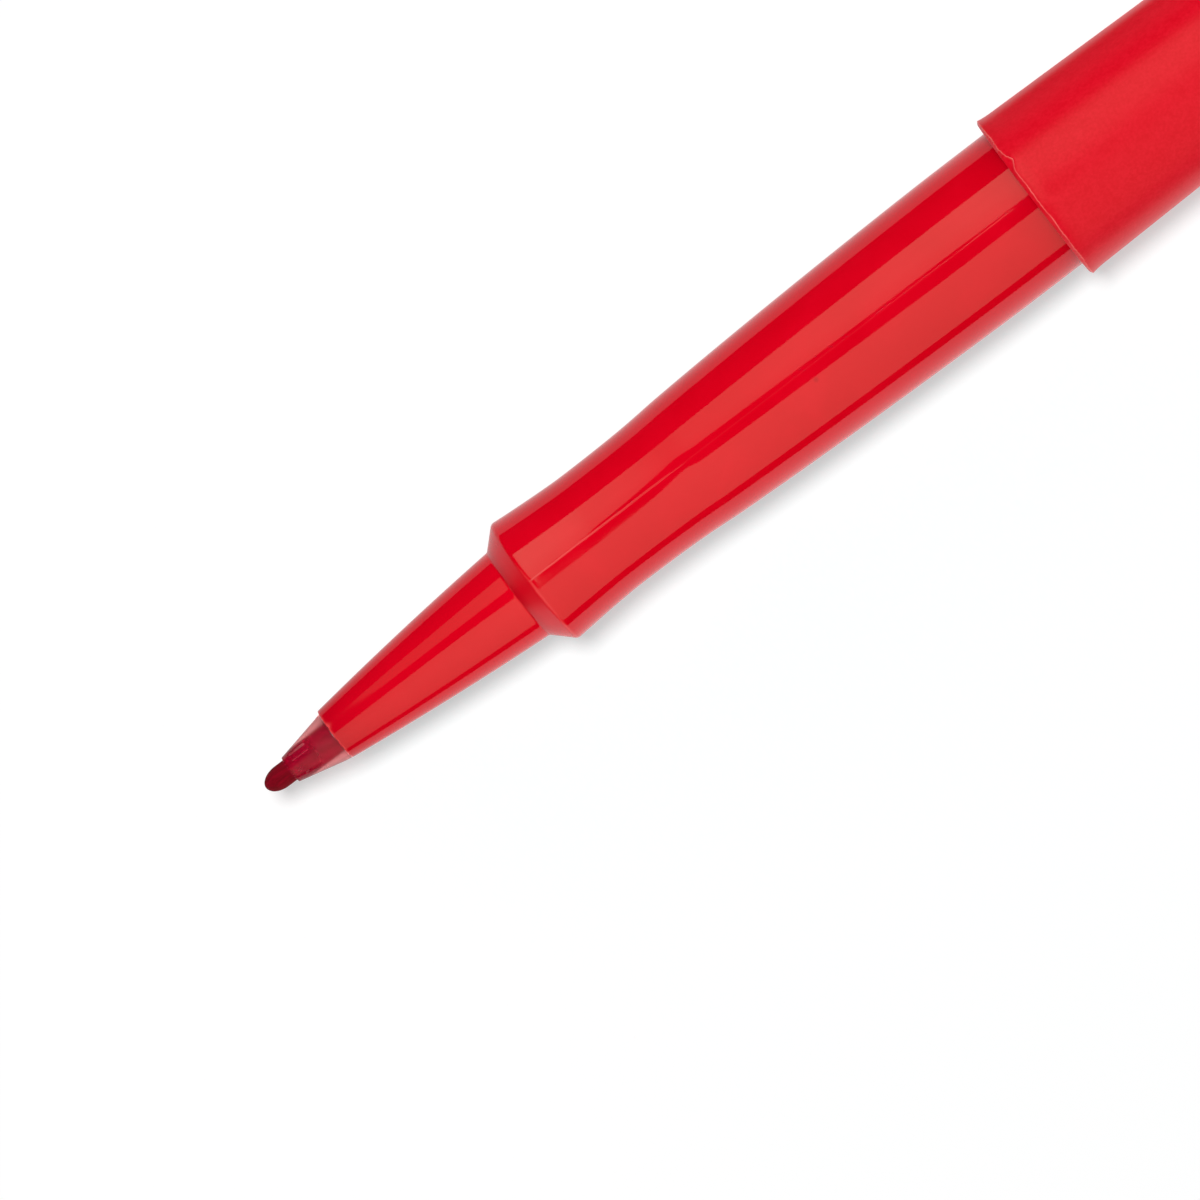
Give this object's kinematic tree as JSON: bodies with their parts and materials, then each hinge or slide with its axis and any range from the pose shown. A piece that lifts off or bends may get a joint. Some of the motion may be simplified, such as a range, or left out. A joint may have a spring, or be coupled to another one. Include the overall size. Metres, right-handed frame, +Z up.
{
  "type": "felt tip marker",
  "caption": "Slim felt tip marker with a tapered nose, waisted glossy grip, matte tapered barrel and a clipped cap posted on its tail.",
  "frame": {"origin": "middle of the marker's length, under its axis, on the surface it lies on", "axes": "+X along the marker from the nib to the posted cap's crown, +Z up"},
  "size_m": [0.1716, 0.0136, 0.0126],
  "materials": {
    "nib_fibre": "ink-soaked pressed fibre",
    "clear_guard": "clear plastic stained by ink",
    "gloss_red": "polished mould, deep red",
    "matte_red": "fine spark-eroded grain, red",
    "ink_fibre": "ink-soaked bonded fibre",
    "wrap_film": "thin clear film",
    "liner_white": "natural moulded plastic"
  },
  "bodies": {
    "pen": {"nib": "nib_fibre", "point_guard": "clear_guard", "front_section": "gloss_red", "barrel": "matte_red", "reservoir_core": "ink_fibre", "reservoir_wrap": "wrap_film"},
    "cap": {"cap_shell": "matte_red", "cap_liner": "liner_white"},
    "clip": {"pocket_clip": "matte_red"}
  },
  "joints": [
    {"name": "cap_pull", "type": "slide", "parent": "pen", "child": "cap", "axis": [1, 0, 0], "range_m": [0, 0.045]},
    {"name": "clip_flex", "type": "hinge", "parent": "cap", "child": "clip", "pos_m": [0.08461, -0.00524, 0.00218], "axis": [0, -0.616, 0.7878], "range_deg": [0, 4], "stiffness_Nm_per_rad": 0.8}
  ]
}
